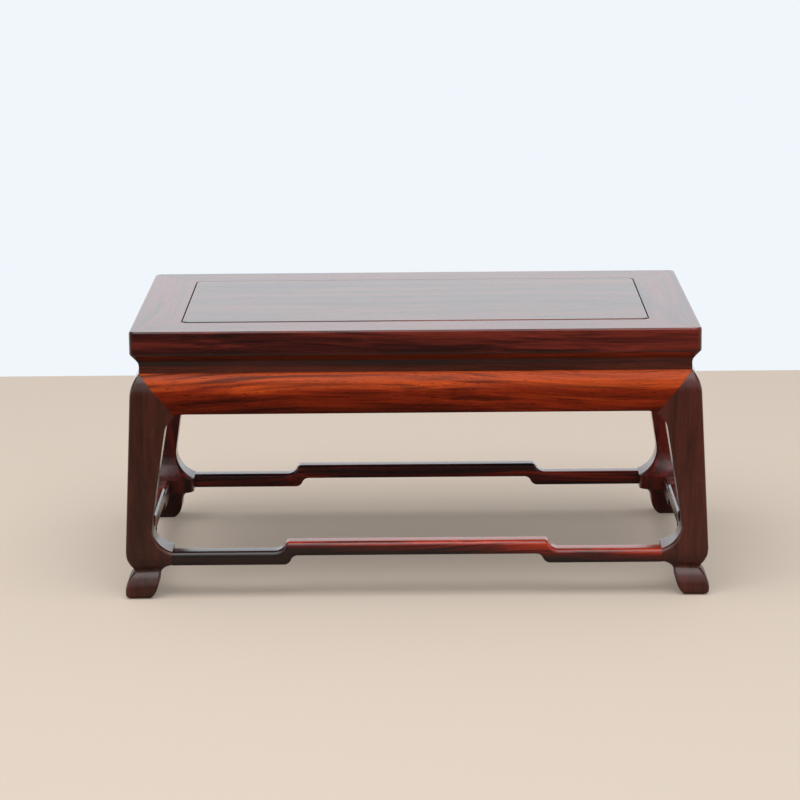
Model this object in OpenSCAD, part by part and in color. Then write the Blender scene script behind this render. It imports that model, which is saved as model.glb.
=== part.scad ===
// Hardwood display stand: a mitred top frame with a floating panel, a recessed waist,
// four aprons mitred into splayed legs with flared feet, and four humpback stretchers.
// Millimetres, +Z up, origin at the middle of the floor plan. Front is -Y, right is +X.
//
// Sections are drawn in (s, z): s is the distance inward from the edge face of the top,
// so one drawing serves the front and the side of each corner.

/* [Overall size] */
// Length of the top, edge face to edge face
top_length = 240; // [200:1:300]
// Depth of the top, edge face to edge face
top_depth = 140; // [120:1:180]
// Height from the floor to the top
stand_height = 115; // [105:1:130]

/* [Top frame] */
// Width of each rail, edge face to panel opening
rail_width = 20.5; // [20:0.5:26]
// Thickness of each rail with its moulding
rail_thickness = 15.5; // [14.5:0.5:18]
// Rounding along the top outer edge
rail_arris = 1; // [0.4:0.1:2]
// Rounding under the edge face
nose_radius = 1.6; // [0.8:0.1:2]
// Radius of the cove that runs down to the waist
cove_radius = 4; // [3:0.25:5]
// Width of the corner tenon of a long rail
corner_tenon_width = 6.5; // [5:0.5:7]
// Thickness of the corner tenon
corner_tenon_thick = 5.5; // [4:0.5:6]
// Wood left outside the corner tenon's blind mortise
corner_tenon_cover = 4.5; // [3.5:0.25:6]
// Distance of the corner tenon from the long rail's edge face
corner_tenon_inset = 6.5; // [6:0.25:7]
// Height of the corner tenon above the rail's underside
corner_tenon_rise = 4; // [3:0.25:5]

/* [Panel] */
// Thickness of the panel
panel_thick = 7; // [6:0.25:8]
// Open gap round the panel, seen from above
panel_gap = 0.4; // [0.2:0.05:0.8]
// Corner radius of the panel opening
panel_corner = 4; // [2:0.25:6]
// Length of the tongue round the panel, past the opening
tongue_length = 3; // [2:0.25:3.5]
// Thickness of that tongue
tongue_thick = 2.5; // [2:0.1:3]

/* [Battens] */
// Distance between the middles of the two battens
batten_spacing = 84; // [60:1:110]
// Width of a batten
batten_width = 10; // [8:0.5:14]
// Depth of a batten below the panel
batten_depth = 6; // [5:0.25:7]
// Height of the dovetail that slides in the panel
dovetail_height = 2; // [1.5:0.1:2.5]
// Width of the dovetail at its root
dovetail_root = 5.5; // [4:0.25:7]
// Length of a batten's tenon in the long rail
batten_tenon = 4; // [3:0.25:5]
// Shoulder on both sides of a batten's tenon
batten_shoulder = 2; // [1:0.25:3]
// Shoulder above and below a batten's tenon
batten_step = 1; // [0.6:0.1:1.5]

/* [Waist] */
// Recess of the waist behind the edge face
waist_inset = 3.75; // [3:0.25:4.5]
// Height of the waist that shows
waist_height = 3.1; // [2:0.1:6]
// Thickness of a waist strip
waist_thick = 5; // [4.5:0.25:6]
// Thickness of the tongue along both edges of a waist strip
waist_tongue = 2.2; // [1.8:0.1:2.6]
// How far that tongue enters the rail and the apron
waist_tongue_depth = 1.2; // [0.8:0.1:1.5]

/* [Aprons] */
// Height of an apron
apron_height = 16.9; // [15.5:0.1:20]
// Radius of the shoulder of aprons and hips
shoulder_radius = 14; // [13:0.5:16]
// Thickness of the tenon on an apron's mitred end
apron_tenon_thick = 3; // [2:0.25:3.5]
// Length of that tenon
apron_tenon_length = 4; // [3:0.25:4.5]
// Height of that tenon along the mitre
apron_tenon_height = 5.5; // [4:0.25:6]
// Height of that tenon's lower side above the apron's lower edge
apron_tenon_rise = 1; // [0.5:0.1:1.5]

/* [Legs] */
// Outward splay of the legs' outer faces, degrees
leg_splay = 2.65; // [1.5:0.05:3.5]
// Lean of the legs' inner faces, degrees
leg_lean = 9; // [8:0.25:10]
// Recess of the narrowest part of a leg's inner face behind the edge face
shank_reach = 7.9; // [7:0.1:9]
// Radius in the upper corners of each opening
opening_radius = 8; // [7:0.25:9]
// Place of the mitre on that corner arc, degrees
mitre_turn = 118; // [115:0.5:121]
// Radius in the lower corners of each opening
heel_radius = 12; // [11:0.25:14]
// Distance from the edge face to the end of a leg's spur
spur_reach = 16.2; // [15.5:0.1:17]
// Length of the leg's tenon in the long rail
long_leg_tenon = 8; // [6:0.25:9]
// Length of the leg's tenon in the end rail
short_leg_tenon = 5; // [4:0.25:6]
// Wood left between each leg tenon and the frame's mitre
leg_tenon_wall = 0.7; // [0.5:0.1:1]
// Shoulder round the outside of the leg tenons
leg_tenon_shoulder = 0.3; // [0.2:0.05:0.5]

/* [Feet] */
// Drop from the stretcher's top to where the ankle starts to round in
ankle_drop = 0.2; // [0:0.1:1]
// Height of the neck between shank and foot
neck_height = 11.8; // [11.2:0.1:12.4]
// Recess of the neck behind the edge face
neck_inset = 0.1; // [-0.4:0.1:0.6]
// How far a foot reaches past the edge face
foot_reach = 3.9; // [3.6:0.1:4.8]
// Height at which a foot reaches farthest
foot_swell_height = 2.8; // [2.4:0.1:3.4]
// Rounding under the toe
toe_radius = 2; // [1.2:0.1:2.2]
// Recess of the foot's inner bottom edge behind the edge face
sole_reach = 6.4; // [5.6:0.1:7.2]
// Recess of the foot's inner side below the spur
instep_reach = 10.3; // [9.8:0.1:10.8]

/* [Stretchers] */
// Height of a stretcher's underside above the floor
stretcher_base = 14.1; // [13.6:0.1:15]
// Height of a stretcher's section
stretcher_height = 6.1; // [5.5:0.1:7]
// Thickness of a stretcher
stretcher_thick = 8.4; // [7:0.1:10]
// How far the stretcher's face stands past the edge face
stretcher_reach = 2.75; // [2.2:0.05:3]
// Length of the raised middle of a long stretcher
long_hump = 111; // [80:1:120]
// Length of the raised middle of an end stretcher
end_hump = 50; // [30:1:60]
// Rise of the raised middle
hump_rise = 4; // [2.5:0.1:4.5]
// Run of the ramp to the raised middle
hump_run = 5; // [4.6:0.1:7]
// Run of the ramp on the underside
hump_lower_run = 6; // [5:0.1:7]
// Shift of the lower ramp towards the middle
hump_shift = 4; // [3:0.1:5]
// Length of a stretcher's tenon
stretcher_tenon = 7; // [4:0.25:8]
// Thickness of that tenon
stretcher_tenon_thick = 4; // [3:0.1:4.5]
// Shoulder above and below that tenon
stretcher_tenon_shoulder = 1.35; // [1:0.05:1.6]

/* [Fits] */
// Clearance round a tenon, tongue or dovetail
fit_clear = 0.1; // [0.05:0.01:0.2]
// Clearance at the end of a tenon or the bottom of a groove
end_clear = 0.3; // [0.1:0.05:0.4]

/* [Hidden] */
// Straight steps in one arc
arc_steps = 7;
// Overshoot of a cutter or blank past the wood
over = 12;

// Levels
rail_base = stand_height - rail_thickness;
apron_top = rail_base - waist_height;
apron_base = apron_top - apron_height;
tongue_base = stand_height - panel_thick;
stretcher_top = stretcher_base + stretcher_height;

// Joint positions behind the edge face
waist_rear = waist_inset + waist_thick;
waist_tongue_mid = waist_inset + waist_thick / 2;
panel_opening = [top_length / 2 - rail_width, top_depth / 2 - rail_width];

// Points along an arc about c with radius r, from angle a to angle b
function arc(c, r, a, b) =
    [for (i = [0 : arc_steps]) let (t = a + (b - a) * i / arc_steps) c + r * [cos(t), sin(t)]];

// A closed outline from one half of it: adds the half's mirror image about x = 0
function whole(half) = concat(half, [for (i = [len(half) - 1 : -1 : 0]) [-half[i][0], half[i][1]]]);

// Radius and turn of an arc that leaves an upright line, given how far it goes across and along
function swell_radius(across, along) = (across * across + along * along) / (2 * across);
function swell_turn(across, along) = 2 * atan(across / along);

// Shoulder: leaves the waist at 45 degrees and ends along the splay of the leg
shoulder_mid = [waist_inset + shoulder_radius * cos(45), apron_top - shoulder_radius * sin(45)];
shoulder_arc = arc(shoulder_mid, shoulder_radius, 135, 180 - leg_splay);
shoulder_end = shoulder_arc[arc_steps];

// Outer face of the leg at a height below the shoulder
function leg_face(z) = shoulder_end[0] - (shoulder_end[1] - z) * tan(leg_splay);

// Ankle: rounds the shank in to the neck
ankle_top = stretcher_top - ankle_drop;
ankle_across = neck_inset - leg_face(ankle_top);
ankle_along = ankle_top - neck_height;
ankle_radius = swell_radius(ankle_across, ankle_along);
ankle_mid = [leg_face(ankle_top) + ankle_radius, ankle_top];
ankle_arc = arc(ankle_mid, ankle_radius, 180, 180 + swell_turn(ankle_across, ankle_along));

// Foot: swells from the neck down to its farthest reach, then rounds under the toe
foot_across = neck_inset + foot_reach;
foot_along = neck_height - foot_swell_height;
foot_radius = swell_radius(foot_across, foot_along);
foot_mid = [foot_radius - foot_reach, foot_swell_height];
foot_arc = arc(foot_mid, foot_radius, 180 - swell_turn(foot_across, foot_along), 180);
toe_arc = arc([toe_radius - foot_reach, toe_radius], toe_radius, 180, 270);

// Inner side of the foot: leans in from the sole, then coves out to the spur
cove_mid = [spur_reach, stretcher_base - (spur_reach - instep_reach)];
instep_across = instep_reach - sole_reach;
instep_radius = swell_radius(instep_across, cove_mid[1]);
instep_mid = [instep_reach - instep_radius, cove_mid[1]];
instep_arc = arc(instep_mid, instep_radius, -swell_turn(instep_across, cove_mid[1]), 0);
spur_arc = arc(cove_mid, spur_reach - instep_reach, 180, 90);

// Heel: lower corner of the opening, from the spur up to the leaning inner face
heel_mid_s = shank_reach + heel_radius;
heel_drop = sqrt(pow(heel_radius, 2) - pow(heel_mid_s - spur_reach, 2));
heel_mid = [heel_mid_s, stretcher_top + heel_drop];
heel_start = 180 + acos((heel_mid_s - spur_reach) / heel_radius);
heel_arc = arc(heel_mid, heel_radius, heel_start, 180 - leg_lean);
heel_end = heel_arc[arc_steps];

// Upper corner of the opening: tangent to the inner face and to the apron's lower edge
crown_mid_z = apron_base - opening_radius;
crown_face_s = heel_end[0] + (crown_mid_z - heel_end[1]) * tan(leg_lean);
crown_mid = [crown_face_s + opening_radius / cos(leg_lean), crown_mid_z];
crown_arc_leg = arc(crown_mid, opening_radius, 180 - leg_lean, mitre_turn);
crown_arc_apron = arc(crown_mid, opening_radius, mitre_turn, 90);

// Mitre between leg and apron, from the opening's corner to the waist's corner
mitre_low = crown_arc_leg[arc_steps];
mitre_high = [waist_inset, apron_top];
mitre_slope = (mitre_low[0] - mitre_high[0]) / (mitre_high[1] - mitre_low[1]);
function mitre(z) = mitre_high[0] + (mitre_high[1] - z) * mitre_slope;

// Post of the leg behind apron and waist, and its two tenons
post_in = mitre_low[0];
post_mid = (waist_rear + post_in) / 2;

// Apron tenon: height band, and its place behind the edge face
apron_tenon_low = apron_base + apron_tenon_rise;
apron_tenon_high = apron_tenon_low + apron_tenon_height;
apron_tenon_mid = (waist_rear + leg_face(apron_base)) / 2;

// Lower face of the corner tenon
corner_tenon_base = rail_base + corner_tenon_rise;

// Stretcher section and tenon
stretcher_tenon_high = stretcher_height - 2 * stretcher_tenon_shoulder;
stretcher_mid_s = stretcher_thick / 2 - stretcher_reach;
stretcher_mid_z = stretcher_base + stretcher_height / 2;

wood_top = [0.47, 0.20, 0.14];
wood_panel = [0.42, 0.20, 0.16];
wood_waist = [0.25, 0.12, 0.09];
wood_apron = [0.60, 0.24, 0.11];
wood_leg = [0.33, 0.15, 0.12];
wood_stretcher = [0.38, 0.15, 0.11];

// Drawing tools

// Extrudes a drawing in (across, z) towards +Y, from y = a to y = b
module along_y(a, b) {
    translate([0, b, 0])
        rotate([90, 0, 0])
            linear_extrude(b - a) children();
}

// Extrudes a drawing in (across, z) towards +X: its across axis becomes y
module along_x(a, b) {
    translate([a, 0, 0])
        rotate([90, 0, 90])
            linear_extrude(b - a) children();
}

// A box between two corners
module box(low, high) {
    translate(low) cube(high - low);
}

// Places a piece drawn at the front-left corner at any corner
module at_corner(right, back) {
    mirror([right ? 1 : 0, 0, 0])
        mirror([0, back ? 1 : 0, 0])
            translate([-top_length / 2, -top_depth / 2, 0]) children();
}

// Places a piece drawn along the front edge of a side of the given depth
module at_side(depth, back) {
    mirror([0, back ? 1 : 0, 0])
        translate([0, -depth / 2, 0]) children();
}

// Turns a side piece drawn at the front to one of the two ends
module at_end(right) {
    mirror([right ? 1 : 0, 0, 0])
        rotate([0, 0, -90])
            at_side(top_length, false) children();
}

// A mitred side piece: a section in (s, z) run along a side of the given length
module mitred_run(length, section) {
    reach = 30;
    intersection() {
        along_x(-length / 2 - over, length / 2 + over) polygon(section);
        linear_extrude(stand_height + over)
            polygon([[-length / 2 - over, -over], [length / 2 + over, -over],
                [length / 2 - reach, reach], [reach - length / 2, reach]]);
    }
}

// Rectangle with rounded corners, from its half sizes
module rounded(half, r) {
    x = half[0] - r;
    y = half[1] - r;
    polygon(concat(arc([x, y], r, 0, 90), arc([-x, y], r, 90, 180),
        arc([-x, -y], r, 180, 270), arc([x, -y], r, 270, 360)));
}

// Puts a piece and its mirror image at the two ends of a side
module both_ends() {
    children();
    mirror([1, 0, 0]) children();
}

// Top frame

// Moulded section of a rail, blank on the inside
function rail_section() =
    let (inner = rail_width + panel_corner,
        cove = arc([waist_inset - cove_radius, rail_base], cove_radius, 45, 0),
        nose_drop = nose_radius * sin(45),
        nose_in = nose_radius * (1 - cos(45)),
        face_base = cove[0][1] + (cove[0][0] - nose_in) + nose_drop)
    concat([[inner, stand_height]],
        arc([rail_arris, stand_height - rail_arris], rail_arris, 90, 180),
        arc([nose_radius, face_base], nose_radius, 180, 225),
        cove,
        [[inner, rail_base]]);

// Groove for the panel's tongue and the opening itself, both about the middle of the top
module panel_space(clear) {
    opening = [panel_opening[0] + tongue_length + clear, panel_opening[1] + tongue_length + clear];
    translate([0, 0, rail_base - 1])
        linear_extrude(rail_thickness + 2) rounded(panel_opening, panel_corner);
    translate([0, 0, tongue_base])
        linear_extrude(tongue_thick + clear) rounded(opening, panel_corner);
}

// Groove in the underside of a rail or the top of an apron for the waist's tongue
module waist_groove(length, z, depth) {
    half = waist_tongue / 2 + fit_clear;
    box([-length / 2 - over, waist_tongue_mid - half, z],
        [length / 2 + over, waist_tongue_mid + half, z + depth]);
}

// The two tenons on top of a leg's post, drawn at the corner
module leg_tenons(clear, extra) {
    low = waist_rear + leg_tenon_shoulder - clear;
    low_end = post_mid - leg_tenon_wall + clear;
    high = post_mid + leg_tenon_wall - clear;
    high_end = post_in - leg_tenon_shoulder + clear;
    box([high, low, rail_base - extra], [high_end, low_end, rail_base + long_leg_tenon + extra]);
    box([low, high, rail_base - extra], [low_end, high_end, rail_base + short_leg_tenon + extra]);
}

// Corner tenon of a long rail, drawn at the corner; it enters the end rail towards -X
module corner_tenon(clear, extra) {
    box([corner_tenon_cover - extra, corner_tenon_inset - clear, corner_tenon_base - clear],
        [rail_width, corner_tenon_inset + corner_tenon_width + clear,
            corner_tenon_base + corner_tenon_thick + clear]);
}

// Tenons of the two battens in a long rail, drawn along the front edge
module batten_tenons(clear, extra) {
    half = batten_width / 2 - batten_shoulder + clear;
    low = tongue_base - batten_depth + batten_step - clear;
    high = tongue_base - batten_step + clear;
    for (side = [-1, 1])
        translate([side * batten_spacing / 2, 0, 0])
            box([-half, rail_width - batten_tenon - extra, low], [half, rail_width + extra, high]);
}

module long_rail(back) {
    color(wood_top) at_side(top_depth, back) difference() {
        union() {
            mitred_run(top_length, rail_section());
            both_ends() translate([-top_length / 2, 0, 0]) corner_tenon(0, 0);
        }
        translate([0, top_depth / 2, 0]) panel_space(end_clear);
        waist_groove(top_length, rail_base - over, over + waist_tongue_depth + end_clear);
        both_ends() translate([-top_length / 2, 0, 0]) leg_tenons(fit_clear, end_clear);
        batten_tenons(fit_clear, end_clear);
    }
}

module end_rail(right) {
    color(wood_top) mirror([right ? 1 : 0, 0, 0]) difference() {
        at_end(false) mitred_run(top_depth, rail_section());
        panel_space(end_clear);
        at_end(false)
            waist_groove(top_depth, rail_base - over, over + waist_tongue_depth + end_clear);
        for (back = [false, true])
            at_corner(false, back) {
                leg_tenons(fit_clear, end_clear);
                corner_tenon(fit_clear, end_clear);
            }
    }
}

// Panel and battens

// Dovetail across the panel, in (x, z) about a batten's middle
module dovetail(clear, drop) {
    half = dovetail_root / 2 + clear;
    top = dovetail_height + clear;
    polygon([[-half, -drop], [half, -drop], [half, 0], [half + top / 2, top],
        [-half - top / 2, top], [-half, 0]]);
}

module top_panel() {
    plate = [panel_opening[0] - panel_gap, panel_opening[1] - panel_gap];
    tongue = [panel_opening[0] + tongue_length, panel_opening[1] + tongue_length];
    color(wood_panel) difference() {
        union() {
            translate([0, 0, tongue_base])
                linear_extrude(panel_thick) rounded(plate, panel_corner - panel_gap);
            translate([0, 0, tongue_base])
                linear_extrude(tongue_thick) rounded(tongue, panel_corner);
        }
        for (side = [-1, 1])
            translate([side * batten_spacing / 2, 0, tongue_base])
                along_y(-top_depth / 2, top_depth / 2) dovetail(fit_clear, 1);
    }
}

module panel_batten(right) {
    half = panel_opening[1];
    side = right ? 1 : -1;
    color(wood_waist) union() {
        translate([side * batten_spacing / 2, 0, tongue_base]) {
            along_y(-half, half) dovetail(0, 1);
            box([-batten_width / 2, -half, -batten_depth], [batten_width / 2, half, 0]);
        }
        for (back = [false, true])
            at_side(top_depth, back) intersection() {
                batten_tenons(0, 0);
                translate([side * top_length / 2, 0, 0])
                    box([-top_length / 2, 0, 0], [top_length / 2, top_depth / 2, stand_height]);
            }
    }
}

// Waist

function waist_section() =
    let (front = waist_tongue_mid - waist_tongue / 2, rear = waist_tongue_mid + waist_tongue / 2,
        low = apron_top - waist_tongue_depth, high = rail_base + waist_tongue_depth)
    [[waist_inset, apron_top], [front, apron_top], [front, low], [rear, low], [rear, apron_top],
        [waist_rear, apron_top], [waist_rear, rail_base], [rear, rail_base], [rear, high],
        [front, high], [front, rail_base], [waist_inset, rail_base]];

module waist_strip(length) {
    color(wood_waist) mitred_run(length, waist_section());
}

// Aprons

// Section of an apron: shoulder, splayed face and flat back
function apron_section() =
    concat(shoulder_arc, [[leg_face(apron_base - over), apron_base - over],
        [waist_rear, apron_base - over], [waist_rear, apron_top]]);

// Left half of an apron seen from its face: the mitre and the corner arc of the opening
function apron_half(length) = [for (p = concat([mitre_high], crown_arc_apron)) p - [length / 2, 0]];

// Tenon on the mitred end, drawn at the corner
module apron_tenon(clear, extra) {
    reach = apron_tenon_length + extra;
    low = apron_tenon_low - clear;
    high = apron_tenon_high + clear;
    half = apron_tenon_thick / 2 + clear;
    along_y(apron_tenon_mid - half, apron_tenon_mid + half)
        polygon([[mitre(low) - reach, low], [mitre(low) + 1, low],
            [mitre(high) + 1, high], [mitre(high) - reach, high]]);
}

module apron(length) {
    color(wood_apron) difference() {
        union() {
            intersection() {
                mitred_run(length, apron_section());
                along_y(-over, waist_rear + over) polygon(whole(apron_half(length)));
            }
            both_ends() translate([-length / 2, 0, 0]) apron_tenon(0, 0);
        }
        waist_groove(length, apron_top - waist_tongue_depth - end_clear, over);
    }
}

// Legs

// A leg seen from either of its two outer faces: hip, shank, spur and foot
function leg_outline() =
    concat(shoulder_arc, ankle_arc, foot_arc, toe_arc, instep_arc, spur_arc, heel_arc, crown_arc_leg);

module leg(right, back) {
    blank = spur_reach + over;
    color(wood_leg) at_corner(right, back) difference() {
        union() {
            intersection() {
                along_y(-over, blank) polygon(leg_outline());
                along_x(-over, blank) polygon(leg_outline());
            }
            box([waist_rear, waist_rear, mitre_low[1] - 1], [post_in, post_in, rail_base]);
            leg_tenons(0, 0);
        }
        apron_tenon(fit_clear, end_clear);
        mirror([1, -1, 0]) apron_tenon(fit_clear, end_clear);
        stretcher_tenon_bar(fit_clear, end_clear);
        mirror([1, -1, 0]) stretcher_tenon_bar(fit_clear, end_clear);
    }
}

// Stretchers

// Tenon on a stretcher's end, drawn at the corner
module stretcher_tenon_bar(clear, extra) {
    half_y = stretcher_tenon_thick / 2 + clear;
    half_z = stretcher_tenon_high / 2 + clear;
    box([spur_reach - stretcher_tenon - extra, stretcher_mid_s - half_y, stretcher_mid_z - half_z],
        [spur_reach + 1, stretcher_mid_s + half_y, stretcher_mid_z + half_z]);
}

// Right half of a stretcher seen from its face: upper ramp, end and lower ramp
function stretcher_half(half, hump) =
    let (top_radius = swell_radius(hump_rise, hump_run),
        top_turn = swell_turn(hump_rise, hump_run),
        foot_x = hump + hump_run,
        low_x = hump + hump_run - hump_shift,
        low_radius = swell_radius(hump_rise / 2, hump_lower_run / 2),
        low_turn = swell_turn(hump_rise / 2, hump_lower_run / 2),
        high_x = low_x - hump_lower_run)
    concat(arc([foot_x, stretcher_top + top_radius], top_radius, 270 - top_turn, 270),
        [[half, stretcher_top], [half, stretcher_base]],
        arc([low_x, stretcher_base + low_radius], low_radius, 270, 270 - low_turn),
        arc([high_x, stretcher_base + hump_rise - low_radius], low_radius, 90 - low_turn, 90));

module stretcher(length, hump) {
    half = length / 2 - spur_reach;
    color(wood_stretcher) union() {
        along_y(-stretcher_reach, stretcher_thick - stretcher_reach)
            polygon(whole(stretcher_half(half, hump / 2)));
        both_ends() translate([-length / 2, 0, 0]) stretcher_tenon_bar(0, 0);
    }
}

top_panel();
panel_batten(false);  // panel_batten_left
panel_batten(true);  // panel_batten_right
long_rail(false);  // long_rail_front
long_rail(true);  // long_rail_back
end_rail(false);  // end_rail_left
end_rail(true);  // end_rail_right
at_side(top_depth, false) waist_strip(top_length);  // waist_front
at_side(top_depth, true) waist_strip(top_length);  // waist_back
at_end(false) waist_strip(top_depth);  // waist_left
at_end(true) waist_strip(top_depth);  // waist_right
at_side(top_depth, false) apron(top_length);  // apron_front
at_side(top_depth, true) apron(top_length);  // apron_back
at_end(false) apron(top_depth);  // apron_left
at_end(true) apron(top_depth);  // apron_right
leg(false, false);  // leg_front_left
leg(true, false);  // leg_front_right
leg(false, true);  // leg_back_left
leg(true, true);  // leg_back_right
at_side(top_depth, false) stretcher(top_length, long_hump);  // stretcher_front
at_side(top_depth, true) stretcher(top_length, long_hump);  // stretcher_back
at_end(false) stretcher(top_depth, end_hump);  // stretcher_left
at_end(true) stretcher(top_depth, end_hump);  // stretcher_right
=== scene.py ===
# %% [markdown]
# A small rosewood display stand.
# The stand is a table in miniature: a mitred top with a loose panel, a narrow
# waist, bowed aprons, four carved legs with flared feet, and four stretchers
# with a raised middle. The CAD frame holds every piece with its joints.
# This script makes each piece again with the softened edges and the waxed
# grain of the real one, and leaves it exactly where the frame has it.

import math

import bmesh
import bpy
from mathutils import Matrix, Vector


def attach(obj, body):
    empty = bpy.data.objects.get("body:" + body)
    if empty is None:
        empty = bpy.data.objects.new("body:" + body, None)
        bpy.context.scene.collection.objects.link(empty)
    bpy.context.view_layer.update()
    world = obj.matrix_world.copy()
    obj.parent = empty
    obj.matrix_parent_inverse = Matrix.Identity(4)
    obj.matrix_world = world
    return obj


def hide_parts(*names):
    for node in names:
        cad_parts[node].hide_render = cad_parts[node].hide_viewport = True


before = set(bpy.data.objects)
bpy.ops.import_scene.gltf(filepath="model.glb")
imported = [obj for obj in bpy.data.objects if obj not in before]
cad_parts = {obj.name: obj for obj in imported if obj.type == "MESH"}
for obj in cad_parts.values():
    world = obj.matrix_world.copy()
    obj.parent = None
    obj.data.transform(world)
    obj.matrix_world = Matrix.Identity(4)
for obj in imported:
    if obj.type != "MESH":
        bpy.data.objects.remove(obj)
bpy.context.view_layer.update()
print("CAD nodes:", len(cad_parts))

# %% [markdown]
# The camera.
# The picture was taken a little from above, with a long lens, so the stand's
# edges stay almost parallel. The place and the turn of the camera were worked
# out from the corners of the top and the feet. A camera looks along its own
# -Z axis, so its rotation is built from the three directions right, up and back.

# %% Camera at the picture's angle
MM = 0.001
CAMERA_PLACE = Vector((0.653, -1293.365, 355.989))
CAMERA_YAW, CAMERA_PITCH, CAMERA_ROLL = (
    math.radians(a) for a in (-0.339, 12.487, -0.543)
)
CAMERA_LENS, SENSOR_WIDTH = 134.358, 36
CLIP_NEAR, CLIP_FAR = 0.01, 20


def new_object(name, data):
    """Puts a camera, a lamp or a mesh into the scene."""
    obj = bpy.data.objects.new(name, data)
    bpy.context.scene.collection.objects.link(obj)
    return obj


def camera_axes(yaw, pitch, roll):
    """The directions right, up and back of a camera with these turns."""
    ahead = Vector((
        math.sin(yaw) * math.cos(pitch),
        math.cos(yaw) * math.cos(pitch),
        -math.sin(pitch),
    ))
    level = Vector((math.cos(yaw), -math.sin(yaw), 0))
    over = level.cross(ahead)
    right = math.cos(roll) * level + math.sin(roll) * over
    up = -math.sin(roll) * level + math.cos(roll) * over
    return right, up, -ahead


lens = bpy.data.cameras.new("camera")
lens.lens, lens.sensor_width = CAMERA_LENS, SENSOR_WIDTH
lens.clip_start, lens.clip_end = CLIP_NEAR, CLIP_FAR
camera = new_object("camera", lens)
axes = Matrix(camera_axes(CAMERA_YAW, CAMERA_PITCH, CAMERA_ROLL)).transposed()
camera.matrix_world = Matrix.Translation(CAMERA_PLACE * MM) @ axes.to_4x4()
bpy.context.scene.camera = camera
print("camera at", [round(v, 3) for v in camera.location], "lens", lens.lens)

# %% [markdown]
# Node helper.
# Materials and Geometry Nodes are both trees of nodes with settings and links.
# One small function adds a node, sets what is set on it, and joins its inputs
# to other nodes or gives them plain values.

# %% One function for every node
MATH, VECTOR, MIX = "ShaderNodeMath", "ShaderNodeVectorMath", "ShaderNodeMix"
NOISE, RANGE = "ShaderNodeTexNoise", "ShaderNodeMapRange"
# A Mix node has five other inputs between its factor and its two colours
TO_COLOURS = [None] * 5


def add_node(tree, kind, *values, **named):
    """Adds a node. Plain inputs come in order and named ones by their label; a
    name in small letters is one of the node's settings. An input is a value, a
    socket to link, a node whose first output is linked, or None to leave it."""
    node = tree.nodes.new(kind)
    for key in [key for key in named if key.islower()]:
        setattr(node, key, named.pop(key))
    inputs = list(enumerate(values))
    inputs += [(key.replace("_", " "), value) for key, value in named.items()]
    for key, value in inputs:
        if isinstance(value, bpy.types.Node):
            value = value.outputs[0]
        if isinstance(value, bpy.types.NodeSocket):
            tree.links.new(value, node.inputs[key])
        elif value is not None:
            node.inputs[key].default_value = value
    return node


def empty_tree(owner):
    """The node tree of a material or a world, with nothing in it yet."""
    owner.use_nodes = True
    owner.node_tree.nodes.clear()
    return owner.node_tree


def linear(hex_code):
    """sRGB hex to the linear colour that the shader reads."""
    parts = [int(hex_code[i:i + 2], 16) / 255 for i in (1, 3, 5)]
    return [
        c / 12.92 if c <= 0.04045 else ((c + 0.055) / 1.055) ** 2.4 for c in parts
    ] + [1.0]


print("linear #808080:", [round(c, 3) for c in linear("#808080")[:3]])

# %% [markdown]
# Rosewood under wax.
# Rosewood is dense and oily: dark red-brown ground, orange bands, nearly black
# veins that sway along the board, and short open pores like pencil dashes.
# Scraped, polished and waxed, it takes a soft gloss, so edges and upper faces
# pick up pale reflections while upright faces keep their deep colour.
# Every piece carries an attribute called grain: millimetres along, across and
# through its own board. The pattern is read from that, so that the grain runs
# down a leg and along a rail, and no two boards are alike.

# %% Rosewood material
ROSEWOOD_ROUGHNESS, ROUGHNESS_SPREAD = 0.24, 0.04
SWAY_LENGTH, SWAY_WIDTH, SWAY_REACH = 120, 45, 8
PORE_COLOUR, RELIEF_STRENGTH, RELIEF_DEPTH = "#160a08", 0.12, 0.05
# Size along and across the board in millimetres, detail and roughness of each layer.
# The pores are drawn about twice as wide as real ones, so that they show in a picture.
FIGURE = {
    "bands": (170, 7, 3.0, 0.6),
    "veins": (95, 1.9, 2.0, 0.5),
    "fibres": (22, 0.55, 2.0, 0.55),
    "pores": (3.2, 0.28, 0.0, 0.5),
}
# Where in its noise each layer begins and where it is full
VEIN_RANGE = dict(From_Min=0.52, From_Max=0.68)
FIBRE_RANGE = dict(From_Min=0.3, From_Max=0.7)
PORE_RANGE = dict(From_Min=0.69, From_Max=0.75)


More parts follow.
